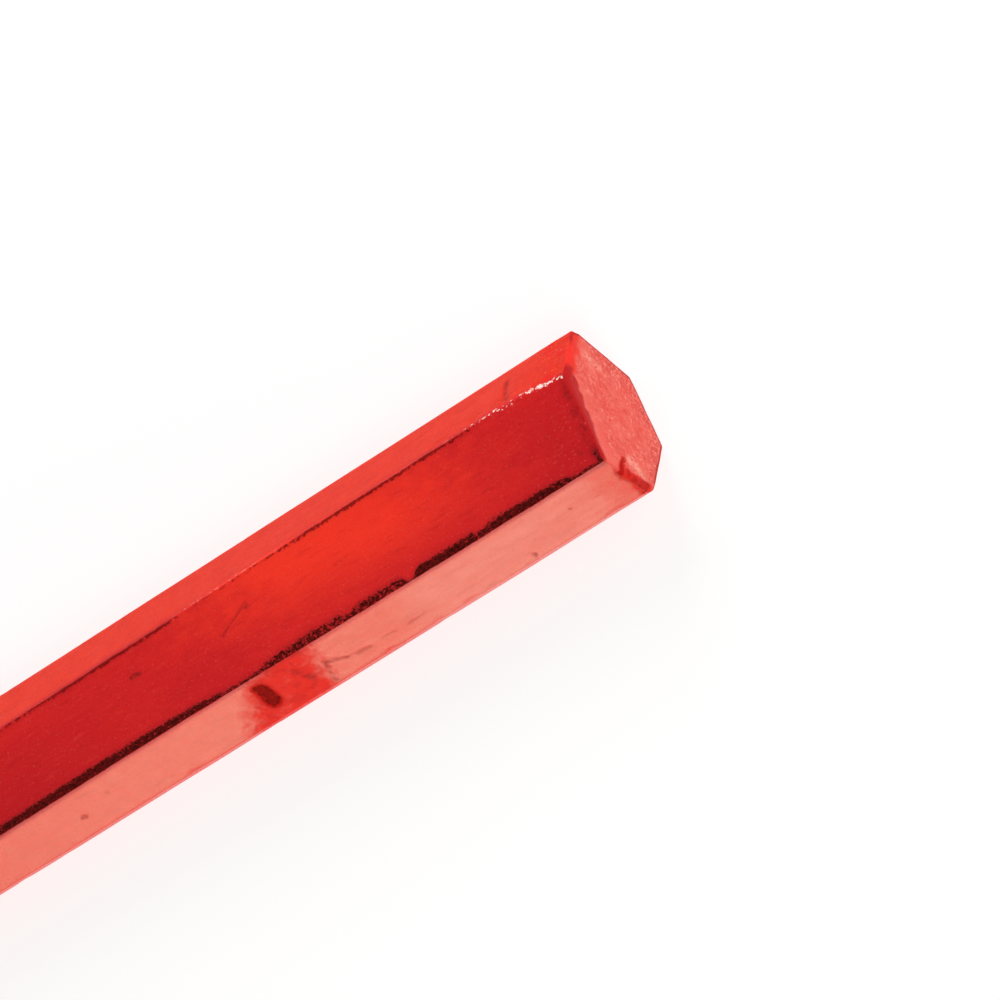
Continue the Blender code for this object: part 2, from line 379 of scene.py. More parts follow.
def surface_marks(x, y, z):
    """The marks that the lacquer carries, at points of its surface."""
    upper = z > HALF_H - 0.35
    d = y + near_line(x)
    band = line_width(x) - d
    corner = np.minimum(0.20 - np.abs(x - 87.55), 0.55 - np.abs(d - 0.50))
    band = np.where(x > 86.5, np.maximum(band, np.minimum(corner, 0.12)), band)
    band = np.clip(np.where(upper, band, -0.8), -0.8, 0.8)
    below = np.clip(np.where(z > 0, d + 0.06, -0.8), -0.8, 0.8)
    grainy = profile(
        ((-60, 0.6), (-30, 0.8), (0, 0.6), (24, 0.7), (27, 0.5), (34, 0.3), (46, 0.5), (49, 0.7), (54, 0.85), (59, 0.85), (63, 1.0), (68, 0.8), (69.5, 0.3), (74.5, 0.3), (75.8, 0.9), (77.5, 0.35), (83, 0.4), (85, 0.8), (88, 0.7)),
        x,
        0.4,
    )
    v = np.hypot(y + WIDE_HALF, z - HALF_H)
    near = smooth(3.42, 3.66, -y) * (z > -0.3)
    blot = smooth(48.6 - 1.0 * (v - 1.5), 52.6 - 0.6 * (v - 1.5), x) * (1 - smooth(55.6 - 0.25 * (v - 2), 59.2 - 0.35 * (v - 2), x))
    wavy = 0.35 * noise2(v / 0.8, 0.4, 191) + 0.18 * noise2(v / 0.3, 1.4, 192)
    rim_red = smooth(87.15, 87.70, x + 0.10 * (v - 2.4) + wavy) * smooth(0.5, 1.5, v)
    gouge = np.clip(gouge_depth(x, v), -0.6, 0.6)
    far = smooth(-0.12, 0.12, y - far_line(x)) * (z > -0.3)
    edge = np.where(y < far_line(x), far_line(x) - y, -np.hypot(y - far_line(x), z - HALF_H))
    # near-white sparkles along the far upper edge towards the butt end: painted highlights
    pale = profile(
        ((70, 0.0), (78.6, 0.0), (79.6, 0.55), (81.2, 0.60), (82.0, 0.25), (83.8, 0.35), (84.6, 1.0), (86.2, 1.0), (86.6, 0.5), (87.2, 0.9), (88, 0.9)),
        x,
        0.25,
    )
    pink = profile(
        ((-60, 0.3), (-40, 0.6), (-20, 0.2), (0, 0.5), (20, 0.2), (32, 0.35), (34, 0.6), (35, 0.1), (47.5, 0.1), (49, 0.7), (59, 0.7), (60.5, 0.25), (75, 0.35), (77, 0.6), (88, 0.7)),
        x,
        0.5,
    )
    dark = profile(
        ((-60, 0.3), (-40, 0.0), (-20, 0.8), (0, 0.2), (20, 0.7), (30, 0.55), (34, 0.7), (36, 0.95), (47, 0.95), (48.5, 0.25), (59, 0.2), (60.5, 0.8), (70, 0.95), (76, 0.8), (79.5, 0.25), (81, 0.0), (88, 0.0)),
        x,
        0.5,
    )
    return {
        "band": band,
        "below": below,
        "grainy": grainy * (z > 0),
        "top": smooth(HALF_H - 0.5, HALF_H - 0.15, np.abs(z)),
        "blot": blot * near,
        "gouge": np.where((y < -3.0) & (z > -0.3), gouge, -0.6),
        "far_chamfer": far,
        "near_chamfer": near,
        "painted_sparkles": pale * np.exp(-(((edge + 0.06) / 0.25) ** 2)) * (z > 1.0),
        "pink_crumbs": pink * np.exp(-(((edge + 0.16) / 0.20) ** 2)) * (z > 1.0),
        "thin_dark": dark * np.exp(-(((edge - 0.08) / 0.13) ** 2)) * (z > 1.0),
        "thin_halo": dark * np.exp(-(((edge + 0.06) / 0.36) ** 2)) * (z > 1.0),
        "edges": np.maximum(np.exp(-((edge / 0.42) ** 2)) * (z > 1.0), 0.55 * smooth(6.43, 6.49, np.abs(y))),
        "lower": smooth(0.2, -0.4, z),
        "rim_red": rim_red * near,
        # the paler pink stretch of the near chamfer is a painted reflection
        "pink_reflection_stretch": smooth(64.0, 69.5, x + 0.8 * noise2(v / 1.5, x / 5.0, 193)) * (1 - smooth(84.2, 86.8, x + 0.4 * noise2(v / 1.2, 0.8, 194))) * near,
        "butt": smooth(83.5, 87.4, x),
        "last_mm": smooth(86.6, 87.6, x),
    }


def make_body():
    last = BUTT_X - DIP_LENGTH
    xs = np.concatenate(
        [
            np.arange(PAINT_BACK_X, 22.0, 0.72),
            np.arange(22.0, 79.0, 0.245),
            np.arange(79.0, last - 0.05, 0.165),
            [last - 0.015, last],
        ]
    )
    base, face = sections(xs)
    m = base.shape[1]
    step = np.linalg.norm(np.roll(base[0], -1, 0) - base[0], axis=1)
    s = np.concatenate([[0], np.cumsum(step)[:-1]])
    x = np.repeat(xs[:, None], m, 1)
    edge = np.roll(base, -1, 1) - np.roll(base, 1, 1)
    normal = np.stack([edge[..., 1], -edge[..., 0]], -1)
    normal /= np.linalg.norm(normal, axis=-1, keepdims=True)
    d = displace_body(x, base[..., 0], base[..., 1], s[None, :], face[None, :])
    d = d - 0.02
    skin = base + normal * d[..., None]
    skin[..., 1] = np.maximum(skin[..., 1], -HALF_H)
    main_part = np.concatenate([x[..., None], skin], -1)

    # the front, where the knife cut the paint away
    outer0 = main_part[0, :, 1:]
    inner0 = sections(xs[:1], PAINT + 0.035)[0][0]
    phi_o = np.arctan2(outer0[:, 1], outer0[:, 0])
    phi_i = np.arctan2(inner0[:, 1], inner0[:, 0])
    ragged = 0.10 * fbm(s / 0.9, 0.3, 171, 3) + 0.55 * np.maximum(0, noise2(s / 1.1, 5.2, 172) - 0.55)
    front_o = cut_start(np.hypot(*outer0.T), phi_o) + np.maximum(ragged, 0) + 0.10
    front_i = cut_start(np.hypot(*inner0.T), phi_i) + 0.6 * np.maximum(ragged, 0)
    front_i = np.minimum(front_i, front_o - 0.12)
    steps = 9
    front = []
    for k in range(steps):
        f = (k / steps) ** 0.8
        xf = front_o * (1 - f) + xs[0] * f
        drop = 0.03 * np.exp(-(xf - front_o) / 0.25)
        ring = outer0 * (1 - drop / np.hypot(*outer0.T))[:, None]
        front.append(np.concatenate([xf[:, None], ring], 1))
    front = np.array(front)
    inner_end = sections(np.array([last]), PAINT + 0.035)[0][0]
    inner_front = np.concatenate([front_i[:, None], inner0], 1)
    inner_back = np.concatenate([np.full((m, 1), last), inner_end], 1)
    inner_mid = np.concatenate([np.full((m, 1), xs[0]), inner0], 1)
    rings = np.concatenate([inner_back[None], inner_mid[None], inner_front[None], front, main_part, inner_back[None] * 1.0])
    # the last ring is the first one: join them instead of repeating it
    rings = rings[:-1]
    verts, quads, tris = grid_mesh("body", rings)
    n = len(rings)
    k = np.arange(m)
    k2 = (k + 1) % m
    seam = np.stack([(n - 1) * m + k, (n - 1) * m + k2, k2, k], -1)
    quads = np.concatenate([quads, seam])
    flat = rings.reshape(-1, 3)
    faces_of = np.tile(face, n)
    xx, yy, zz = flat[:, 0], flat[:, 1], flat[:, 2]
    attributes = surface_marks(xx, yy, zz)
    flat = flat.copy()
    flat[:, 2] += MID_Z
    return build("red_lacquer_coat", flat, quads, tris, attributes, sharp=55), (main_part[-1], face, s)


def make_dip(last_ring, face, s):
    """The coat over the sawn end: it goes on flush from the body, round the rim and over the rough end grain."""
    x0 = BUTT_X - DIP_LENGTH
    ring0 = last_ring[:, 1:]
    m = len(ring0)
    edge = np.roll(ring0, -1, 0) - np.roll(ring0, 1, 0)
    normal = np.stack([edge[:, 1], -edge[:, 0]], -1)
    normal /= np.linalg.norm(normal, axis=1, keepdims=True)
    for _ in range(3):
        normal = np.roll(normal, 1, 0) + 2 * normal + np.roll(normal, -1, 0)
        normal /= np.linalg.norm(normal, axis=1, keepdims=True)
    # the rim is rounder towards the worn far upper corner and along the near chamfer
    worn = np.exp(-(((ring0[:, 0] - 3.1) / 1.3) ** 2 + ((ring0[:, 1] - 3.9) / 1.0) ** 2))
    chamfer = smooth(-4.2, -5.2, ring0[:, 0]) * smooth(-0.9, 0.2, ring0[:, 1])
    far_side = smooth(3.6, 4.4, ring0[:, 0]) * smooth(-0.4, 0.6, ring0[:, 1])
    radius = 0.13 + 0.30 * worn + 0.30 * chamfer + 0.06 * far_side + 0.04 * noise2(s / 1.2, 0.0, 201)
    radius = np.minimum(radius, 0.56)
    rings = []
    for x in (x0, x0 + 0.015, BUTT_X - 0.66):
        rings.append(np.concatenate([np.full((m, 1), x), ring0], 1))
    for f in (0.2, 0.4, 0.6, 0.8):
        x = (BUTT_X - 0.66) * (1 - f) + (BUTT_X - 0.04 - radius) * f
        rings.append(np.concatenate([x[:, None], ring0], 1))
    side_rings = len(rings)
    steps = 9
    for k in range(steps + 1):
        a = math.pi / 2 * k / steps
        x = BUTT_X - 0.04 - radius * (1 - math.sin(a))
        yz = ring0 - normal * (radius * (1 - math.cos(a)))[:, None]
        rings.append(np.concatenate([x[:, None], yz], 1))
    rim = rings[-1]
    centre = np.array([BUTT_X - 0.04, 0.0, 0.0])
    count = 62
    for k in range(1, count):
        f = (1 - k / count) ** 0.92
        rings.append(centre + (rim - centre) * f)
    rings = np.array(rings)
    rim_from = side_rings + steps
    yz = rings[rim_from:, :, 1:]
    y, z = yz[..., 0], yz[..., 1]
    depth = np.linalg.norm(rings[rim_from][None, :, 1:] - yz, axis=-1)
    away_top = HALF_H - z
    rough = smooth(0.05, 0.55, depth) * smooth(0.55, 1.55, away_top + 0.35 * noise2(y / 1.1, 1.0, 203))
    rough = rough * smooth(0.45, 1.05, 0.703 * (6.5 - y) + 0.711 * (0.56 - z) + 0.30 * noise2(y / 0.9, z / 0.9, 213))
    bent = 0.35 * noise2(y / 0.7, z / 0.7, 207)
    saw = 0.018 * fbm(y / 2.0, z / 0.20 + 0.8 * noise2(y / 1.1, z / 1.1, 206), 204, 3)
    pores = -0.060 * np.maximum(0, noise2(y / 0.28 + bent, z / 0.22, 208) - 0.25)
    crumbs = 0.050 * np.maximum(0, noise2(y / 0.36 - bent, z / 0.26 + bent, 209) - 0.30)
    broad = 0.035 * fbm(y / 3.0, z / 2.2, 210, 3)
    bump = (saw + pores + crumbs) * rough + broad * smooth(0.0, 0.8, depth)
    sunk = -0.03 * smooth(0.1, 0.9, depth)
    # a torn notch that runs into the rim of the near chamfer
    notch = -0.13 * np.exp(-((line_distance(y, z, END_NOTCH) / 0.15) ** 2)) + 0.03 * np.exp(-((line_distance(y, z, END_HIGHLIGHT_SPOT) / 0.35) ** 2))
    lead_mark = -0.02 * (smooth(0.12, 0.0, np.abs(np.maximum(np.abs(y) - LEAD_HALF_W, np.abs(z) - LEAD_HALF_H))))
    rings[rim_from:, :, 0] += np.minimum(bump + sunk + notch + lead_mark, 0.035)
    # the hidden back of the coat, flat against the body
    back = []
    for f in (0.97,):
        back.append(np.concatenate([np.full((m, 1), x0), ring0 * f], 1))
    all_rings = np.concatenate([np.array(back), rings])
    verts, quads, tris = grid_mesh("dip", all_rings, cap_start="fan", cap_end="fan")
    n = len(all_rings)
    flat = all_rings.reshape(-1, 3)
    xx, yy, zz = flat[:, 0], flat[:, 1], flat[:, 2]
    rim_row = 1 + rim_from - 7

    def on_face(values):
        """Values on the end face, carried on over its rounded rim."""
        full = np.zeros((n, m))
        full[1 + rim_from :] = values
        full[rim_row : 1 + rim_from] = values[0]
        return full.reshape(-1)

    along_near = -0.611 * (y + 3.68) - 0.791 * (z - HALF_H)
    near_depth = 5.36 - (-0.791 * y + 0.611 * z)
    near_depth = near_depth + 0.16 * noise2(y / 0.6, z / 0.6, 212)
    rim_band = smooth(0.80, 0.45, near_depth) * smooth(1.2, 2.2, along_near)
    far_depth = 0.703 * (6.5 - y) + 0.711 * (0.56 - z) + 0.30 * noise2(y / 0.9, z / 0.9, 213)
    far_band = smooth(1.15, 0.60, far_depth) * smooth(-0.6, 0.3, z)
    # the crimson of the wide face comes over the worn rim, more of it towards the far corner
    over = np.clip(0.20 + 0.165 * (y + 3.6), 0.12, 1.20)
    dark_rim = smooth(0.16, -0.14, away_top - over + 0.22 * noise2(y / 0.45, z / 0.5, 214)) * smooth(-3.9, -3.5, y) * smooth(4.1, 3.5, y)
    low_zone = smooth(1.9, 0.3, depth) * smooth(0.6, -1.2, z)
    rim_line = np.zeros((n, m))
    rim_line[rim_row : 3 + rim_from] = (smooth(0.9, 0.3, ring0[:, 1]) * smooth(-6.3, -6.0, ring0[:, 0]) + 0.9 * smooth(5.2, 5.9, ring0[:, 0]))[None]
    gap = line_distance(yy, zz, END_NOTCH) - 0.12 * smooth(1.9, 2.5, zz)
    notch_mark = (0.5 - np.clip(gap, 0.0, 0.5)) * smooth(BUTT_X - 0.55, BUTT_X - 0.30, xx)
    attributes = surface_marks(xx, yy, zz)
    for key in ("painted_sparkles", "pink_crumbs", "thin_dark", "thin_halo", "edges", "lower", "rim_red", "pink_reflection_stretch", "far_chamfer", "near_chamfer", "top", "band", "below"):
        off = -0.8 if key in ("band", "below") else 0.0
        attributes[key] = np.where(np.arange(n * m) < rim_row * m, attributes[key], off)
    attributes.update(
        {
            "rough": on_face(rough),
            "end": on_face(np.ones_like(y)),
            "near_rim": on_face(rim_band),
            "notch": notch_mark,
            "rim_line": np.clip(rim_line, 0.0, 1.0).reshape(-1),
            "dark_rim": on_face(dark_rim),
            "low_zone": on_face(low_zone),
            "far_rim": on_face(far_band),
            "smooth_rim": on_face(smooth(1.5, 0.9, away_top + 0.2 * noise2(y / 1.1, 1.0, 203))),
        }
    )
    verts = verts.copy()
    verts[:, 2] += MID_Z
    return build("red_dipped_end_coat", verts, quads, tris, attributes, sharp=55)


# ---------------------------------------------------------------- whittled wood and lead
def radial(corners_half_w, corners_half_h, phi):
    return np.minimum(
        corners_half_w / np.maximum(np.abs(np.cos(phi)), 1e-6),
        corners_half_h / np.maximum(np.abs(np.sin(phi)), 1e-6),
    )


def wood_section_radius(x, phi):
    """Distance from the axis to the wood's own outer surface, which follows the painted section."""
    c = corner_paths(np.atleast_1d(x))
    e = np.roll(c, -1, 1) - c
    normal = np.stack([e[..., 1], -e[..., 0]], -1) / np.linalg.norm(e, axis=-1, keepdims=True)
    reach = (normal * c).sum(-1) - WOOD_INSET
    best = np.full((len(c), len(phi)), 1e9)
    for k in range(8):
        away = normal[:, k, 0:1] * np.cos(phi)[None] + normal[:, k, 1:2] * np.sin(phi)[None]
        best = np.minimum(best, np.where(away > 1e-3, reach[:, k : k + 1] / np.maximum(away, 1e-3), 1e9))
    return best


def make_slat(side, name, seed):
    """Half of the casing, with knife facets, torn fibres and the groove of the lead."""
    corner = math.atan2(LEAD_HALF_H + 0.05, LEAD_HALF_W + 0.05)
    phis = np.sort(np.concatenate([np.linspace(0, math.pi, 190), [corner, math.pi - corner]]))
    if side < 0:
        phis = phis + math.pi
    inner_r = radial(LEAD_HALF_W + 0.05, LEAD_HALF_H + 0.05, phis)
    start = cut_start(inner_r, phis) + 0.05
    start = start + 0.25 * np.maximum(0, fbm(phis * 6.0, 0.2, seed, 3))
    end = POINT_X + 31.0
    steps = 190
    t = np.linspace(0, 1, steps)[:, None]
    x = start[None] * (1 - t) + end * t
    phi = np.repeat(phis[None], steps, 0)
    r = cut_radius(phi, x)
    section_r = np.repeat(wood_section_radius(POINT_X + 30.0, phis), steps, 0)
    exposed = smooth(0.0, 0.25, section_r - r)
    arc = phi * 5.0
    facet_ripple = -0.020 - 0.022 * noise2(x / 3.4 + 1.3 * np.floor(phi * 2.0), arc / 2.2, seed + 1)
    fibres = -0.014 * np.abs(fbm(x / 7.0, arc / 0.16, seed + 2, 3))
    chatter = -0.008 * (0.5 + 0.5 * np.sin(x * 5.2 + 2.0 * noise2(arc / 1.5, x / 6.0, seed + 3))) * smooth(0.1, 0.7, noise2(x / 5.0, arc / 2.5, seed + 4))
    splinter = 0.05 * np.maximum(0, noise2(x / 2.2, arc / 0.20, seed + 5) - 0.62) * smooth(0.0, 2.0, x - start[None])
    grow = smooth(0.0, 0.8, x - start[None])
    r = np.minimum(r + (facet_ripple + fibres + chatter) * exposed * (0.3 + 0.7 * grow) + splinter * exposed, section_r)
    r = np.maximum(r, inner_r[None] + 0.004 * grow)
    floor = side * 0.055
    oy, oz = r * np.cos(phi), r * np.sin(phi)
    iy, iz = inner_r * np.cos(phis), inner_r * np.sin(phis)
    clamp = (lambda v: np.maximum(v, floor)) if side > 0 else (lambda v: np.minimum(v, floor))
    outer = np.stack([x, oy, clamp(oz)], -1)
    tail_x = np.array([-30.0, 0.0, 27.0, 45.0, 60.0, 72.0, 76.0, 79.0, 81.0, 83.0, 85.0, 86.0, 87.0, BODY_END_X])
    tail_r = wood_section_radius(tail_x, phis)
    tail_xx = np.repeat(tail_x[:, None], len(phis), 1)
    outer = np.concatenate([outer, np.stack([tail_xx, tail_r * np.cos(phis), clamp(tail_r * np.sin(phis))], -1)])
    xi = np.concatenate([x, tail_xx])
    inner = np.stack([xi, np.repeat(iy[None], len(xi), 0), np.repeat(clamp(iz)[None], len(xi), 0)], -1)
    ring = np.concatenate([outer, inner[:, ::-1]], 1)
    n, m = ring.shape[:2]
    verts, quads, tris = grid_mesh(name, ring)
    # close both ends with quads between the outer and the inner line
    half = m // 2
    k = np.arange(half - 1)
    caps = []
    for row in (0, n - 1):
        a, b = row * m + k, row * m + k + 1
        c, d = row * m + (m - 1 - k - 1), row * m + (m - 1 - k)
        quad = np.stack([a, b, c, d], -1)
        caps.append(quad[:, ::-1] if row == 0 else quad)
    quads = np.concatenate([quads] + caps)
    verts = verts.copy()
    fresh = np.zeros((n, m))
    fresh[:steps, :half] = exposed
    verts[:, 2] += MID_Z
    return build(name, verts, quads, tris, {"cut": fresh.reshape(-1)}, sharp=50)


def make_lead():
    corner = math.atan2(LEAD_HALF_H, LEAD_HALF_W)
    phis = np.linspace(0, 2 * math.pi, 200, endpoint=False)
    extra = [corner, math.pi - corner, math.pi + corner, 2 * math.pi - corner]
    phis = np.sort(np.concatenate([phis, extra]))
    inner = radial(LEAD_HALF_W, LEAD_HALF_H, phis)
    steps = 120
    end = POINT_X + 12.0
    t = np.linspace(0, 1, steps)[:, None]
    x = POINT_X + 0.03 + (end - POINT_X) * t**1.25
    x = np.repeat(x, len(phis), 1)
    phi = np.repeat(phis[None], steps, 0)
    r = cut_radius(phi, x, 0.03)
    worn = 0.11 + 1.1 * (x - POINT_X)
    r = np.minimum(r, worn / np.maximum(np.abs(np.sin(phi)), 1e-6))
    corner_worn = POINT_HALF_W - 0.28 + 1.4 * (x - POINT_X)
    r = np.minimum(r, corner_worn / np.maximum(np.abs(np.cos(phi)), 1e-6))
    streaks = -0.010 * np.abs(fbm(x / 4.0, phi * 9.0, 301, 3)) - 0.006 * np.abs(noise2(x / 0.5, phi * 30.0, 303))
    r = r + streaks * smooth(0.0, 0.4, x - POINT_X)
    r = np.minimum(r, inner[None])
    r = np.maximum(r, 0.05)
    body = np.stack([x, r * np.cos(phi), r * np.sin(phi)], -1)
    tail = np.stack([np.full(len(phis), BODY_END_X), inner * np.cos(phis), inner * np.sin(phis)], -1)
    rings = np.concatenate([body, tail[None]])
    verts, quads, tris = grid_mesh("lead", rings, cap_start="fan", cap_end="fan")
    verts = verts.copy()
    verts[:, 2] += MID_Z
    return build("graphite_lead_strip", verts, quads, tris, sharp=45)


# ---------------------------------------------------------------- materials
class Nodes:
    """Short calls for building a node tree."""

    def __init__(self, name):
        self.material = bpy.data.materials.new(name)
        self.material.use_nodes = True
        self.tree = self.material.node_tree
        self.shader = self.tree.nodes["Principled BSDF"]
        coordinates = self.add("ShaderNodeTexCoord")
        self.object = self.vmath("SCALE", coordinates.outputs["Object"], scale=1000.0)

    def add(self, kind, **settings):
        node = self.tree.nodes.new(kind)
        for key, value in settings.items():
            setattr(node, key, value)
        return node

    def put(self, socket, value):
        if isinstance(value, bpy.types.NodeSocket):
            self.tree.links.new(value, socket)
        elif isinstance(value, tuple) and len(value) == 3 and socket.type == "RGBA":
            socket.default_value = (*value, 1.0)
        else:
            socket.default_value = value

    def math(self, operation, a, b=0.0, c=None, clamp=False):
        node = self.add("ShaderNodeMath", operation=operation, use_clamp=clamp)
        self.put(node.inputs[0], a)
        self.put(node.inputs[1], b)
        if c is not None:
            self.put(node.inputs[2], c)
        return node.outputs[0]

    def vmath(self, operation, a, b=None, scale=None):
        node = self.add("ShaderNodeVectorMath", operation=operation)
        self.put(node.inputs[0], a)
        if b is not None:
            self.put(node.inputs[1], b)
        if scale is not None:
            self.put(node.inputs["Scale"], scale)
        return node.outputs["Value"] if operation in ("DOT_PRODUCT", "LENGTH", "DISTANCE") else node.outputs["Vector"]

    def attribute(self, name):
        return self.add("ShaderNodeAttribute", attribute_name=name).outputs["Fac"]

    def stretched(self, x, y, z):
        return self.vmath("MULTIPLY", self.object, (x, y, z))

    def noise(self, vector, scale, detail=4.0, roughness=0.55, distortion=0.0):
        node = self.add("ShaderNodeTexNoise")
        self.put(node.inputs["Vector"], vector)
        node.inputs["Scale"].default_value = scale
        node.inputs["Detail"].default_value = detail
        node.inputs["Roughness"].default_value = roughness
        node.inputs["Distortion"].default_value = distortion
        return node.outputs["Fac"]

    def ramp(self, value, low, high):
        """From 0 to 1, smoothly, as the value goes from low to high."""
        node = self.add("ShaderNodeMapRange", interpolation_type="SMOOTHSTEP")
        self.put(node.inputs["Value"], value)
        node.inputs["From Min"].default_value = low
        node.inputs["From Max"].default_value = high
        return node.outputs["Result"]

    def span(self, value, low, high, to_low, to_high):
        node = self.add("ShaderNodeMapRange")
        self.put(node.inputs["Value"], value)
        for key, number in (("From Min", low), ("From Max", high), ("To Min", to_low), ("To Max", to_high)):
            node.inputs[key].default_value = number
        return node.outputs["Result"]

    def mix(self, factor, a, b):
        node = self.add("ShaderNodeMix", data_type="RGBA")
        self.put(node.inputs[0], factor)
        self.put(node.inputs[6], a)
        self.put(node.inputs[7], b)
        return node.outputs[2]

    def bump(self, height, strength, distance, normal=None):
        node = self.add("ShaderNodeBump")
        node.inputs["Strength"].default_value = strength
        node.inputs["Distance"].default_value = distance * 0.001
        self.put(node.inputs["Height"], height)
        if normal is not None:
            self.put(node.inputs["Normal"], normal)
        return node.outputs["Normal"]

    def segment(self, a, b, width):
        """1 on a straight scratch between two points, 0 off it."""
        a, b = np.array(a, float), np.array(b, float)
        ba = b - a
        pa = self.vmath("SUBTRACT", self.object, tuple(a))
        h = self.math("DIVIDE", self.vmath("DOT_PRODUCT", pa, tuple(ba)), float(ba @ ba), clamp=True)
        along = self.vmath("SCALE", tuple(ba), scale=h)
        gap = self.vmath("LENGTH", self.vmath("SUBTRACT", pa, along))
        return self.ramp(gap, width * 1.25, width * 0.15)

    def highest(self, values):
        total = values[0]
        for value in values[1:]:
            total = self.math("MAXIMUM", total, value)
        return total


def near_point(x, v):
    """A point on the near chamfer, v mm down from its upper edge."""
    length = math.hypot(HALF_W - WIDE_HALF, HALF_H - SIDE_HALF)
    return (x, -WIDE_HALF - (HALF_W - WIDE_HALF) * v / length, MID_Z + HALF_H - (HALF_H - SIDE_HALF) * v / length)


def far_point(x, v):
    px, py, pz = near_point(x, v)
    return (px, -py, pz)


def end_point(y, z):
    return (BUTT_X - 0.05, y, MID_Z + z)


def top_point(x, y):
    return (x, y, MID_Z + HALF_H)


def lacquer_material(name):
    """Worn red lacquer. The end face, the edges and the marks are found from the piece's own attributes."""
    n = Nodes(name)
    top, butt, last = n.attribute("top"), n.attribute("butt"), n.attribute("last_mm")
    band, blot, gouge = n.attribute("band"), n.attribute("blot"), n.attribute("gouge")
    far, near = n.attribute("far_chamfer"), n.attribute("near_chamfer")
    end, rough = n.attribute("end"), n.attribute("rough")
    separate = n.add("ShaderNodeSeparateXYZ")
    n.put(separate.inputs[0], n.object)
    px, py, pz = separate.outputs
    fine = n.noise(n.object, 3.2, 5.0, 0.62)
    cloudy = n.noise(n.stretched(0.35, 1.0, 1.0), 0.30, 4.0, 0.55)
    patchy = n.noise(n.stretched(0.6, 1.0, 1.0), 0.9, 4.0, 0.6)
    grain = n.noise(n.stretched(0.12, 1.0, 1.0), 3.6, 4.0, 0.65)
    speck = n.noise(n.object, 6.5, 2.0, 0.7)
    crumb = n.noise(n.stretched(0.8, 1.0, 1.0), 4.2, 2.0, 0.6)

    # the wide faces are deep crimson; painted shade darkens them towards both ends and the near side, and a painted
    # pool of warmer, lighter colour lies across their middle
    base = n.mix(n.ramp(cloudy, 0.36, 0.66), (0.620, 0.0135, 0.0165), (0.680, 0.0165, 0.0170))
    painted_shade = n.math("MAXIMUM", n.ramp(px, 72.0, 87.0), n.ramp(px, 46.0, 25.0))
    painted_shade = n.math("MULTIPLY", painted_shade, n.ramp(py, 3.6, -2.5))
    base = n.mix(n.math("MULTIPLY", painted_shade, 0.9), base, (0.545, 0.0110, 0.0150))
    bend = n.math("MULTIPLY", n.math("SUBTRACT", py, 1.5), 1.3)
    middle = n.math("ADD", n.math("SUBTRACT", px, 63.5), n.math("ADD", bend, n.math("MULTIPLY", n.math("SUBTRACT", patchy, 0.5), 14.0)))
    painted_light_pool = n.math("MULTIPLY", n.ramp(n.math("ABSOLUTE", middle), 20.0, 3.0), n.ramp(py, -4.2, 1.8))
    painted_light_pool = n.math("MULTIPLY", painted_light_pool, n.span(cloudy, 0.3, 0.7, 0.82, 1.08), clamp=True)
    base = n.mix(n.math("MULTIPLY", painted_light_pool, top), base, (0.955, 0.0370, 0.0185))
    # the narrow faces and chamfers: the same lacquer painted lighter and more orange, a painted reflection of the pale
    # surroundings; the near chamfer is painted pinker still, with a paler pink stretch, also painted reflection
    sides = n.mix(n.ramp(patchy, 0.35, 0.65), (0.705, 0.0275, 0.0115), (0.750, 0.0330, 0.0140))
    sides = n.mix(near, sides, n.mix(n.ramp(patchy, 0.35, 0.65), (0.715, 0.0370, 0.0130), (0.745, 0.0440, 0.0170)))
    sides = n.mix(n.attribute("pink_reflection_stretch"), sides, n.mix(n.ramp(patchy, 0.35, 0.65), (0.735, 0.0880, 0.0600), (0.760, 0.1040, 0.0730)))
    base = n.mix(n.math("SUBTRACT", 1.0, top), base, sides)
    base = n.mix(n.math("MULTIPLY", n.ramp(grain, 0.53, 0.74), 0.32), base, (0.36, 0.008, 0.010))
    base = n.mix(n.math("MULTIPLY", n.ramp(grain, 0.43, 0.26), 0.20), base, (0.93, 0.085, 0.060))
    speckled = n.math("SUBTRACT", 0.62, n.math("MULTIPLY", n.math("MAXIMUM", painted_light_pool, near), 0.34))
    base = n.mix(n.math("MULTIPLY", n.ramp(speck, 0.62, 0.72), speckled), base, (0.30, 0.006, 0.008))
    base = n.mix(n.math("MULTIPLY", n.ramp(speck, 0.37, 0.29), 0.42), base, (0.92, 0.17, 0.14))

    # saturated patch round the gouge, where the shine has gone
    torn = n.noise(n.object, 1.25, 3.0, 0.6)
    broken = n.math("ADD", n.math("MULTIPLY", n.math("SUBTRACT", patchy, 0.5), 2.4), n.math("MULTIPLY", n.math("SUBTRACT", fine, 0.5), 1.2))
    patch = n.math("MULTIPLY", n.ramp(n.math("ADD", blot, n.math("MULTIPLY", broken, 0.75)), 0.02, 0.98), n.ramp(blot, 0.02, 0.25))
    patch = n.math("MULTIPLY", patch, near)
    base = n.mix(n.math("MULTIPLY", patch, 0.96), base, (0.755, 0.0185, 0.0120))
    stain = n.math("MULTIPLY", n.math("MULTIPLY", patch, n.ramp(torn, 0.50, 0.60)), 0.38)
    base = n.mix(stain, base, (0.50, 0.011, 0.009))
    bead = n.math("MULTIPLY", n.attribute("rim_red"), n.ramp(fine, 0.34, 0.50))
    base = n.mix(n.math("MULTIPLY", bead, 0.92), base, n.mix(n.ramp(fine, 0.48, 0.60), (0.560, 0.0140, 0.0110), (0.340, 0.0080, 0.0075)))
